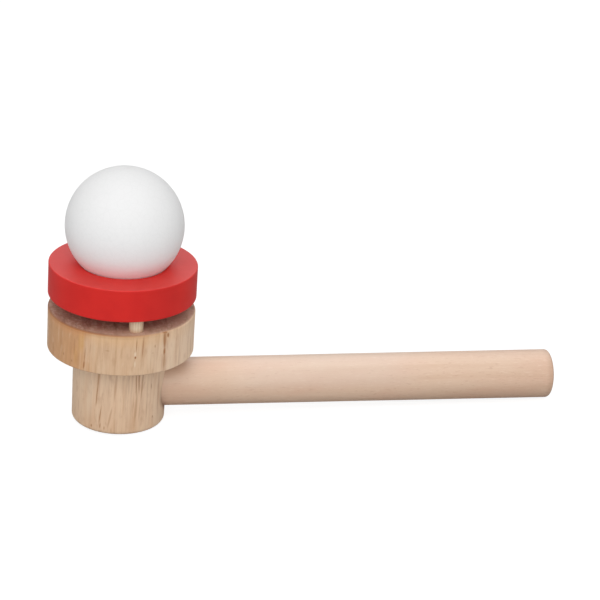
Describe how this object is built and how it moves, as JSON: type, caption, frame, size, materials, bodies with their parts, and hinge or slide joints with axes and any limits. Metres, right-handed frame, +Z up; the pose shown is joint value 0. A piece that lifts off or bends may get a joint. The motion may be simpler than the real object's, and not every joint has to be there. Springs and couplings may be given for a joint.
{
  "type": "blow ball pipe toy",
  "caption": "Wooden toy pipe that floats a foam ball on a jet of breath above a red ring pegged to its bowl.",
  "frame": {"origin": "centre of the foot, the flat underside of the bowl's stem", "axes": "+Z up along the bowl's axis, +X from the bowl's axis along the pipe to its mouth"},
  "size_m": [0.1808, 0.0504, 0.0907],
  "materials": {
    "bowl_wood": "sanded bare wood, upright grain",
    "pipe_wood": "sanded bare beech dowel, grain along the pipe",
    "peg_wood": "bare wood dowel",
    "red_paint": "satin red paint on wood",
    "white_foam": "fine expanded polystyrene beads, matte"
  },
  "bodies": {
    "pipe_toy": {"bowl": "bowl_wood", "blow_pipe": "pipe_wood", "ring": "red_paint", "ring_peg_1": "peg_wood", "ring_peg_2": "peg_wood", "ring_peg_3": "peg_wood"},
    "ball": {"foam_ball": "white_foam"}
  },
  "joints": [
    {"name": "ball_lift", "type": "slide", "parent": "pipe_toy", "child": "ball", "axis": [0, 0, 1], "range_m": [0, 0.06]}
  ]
}
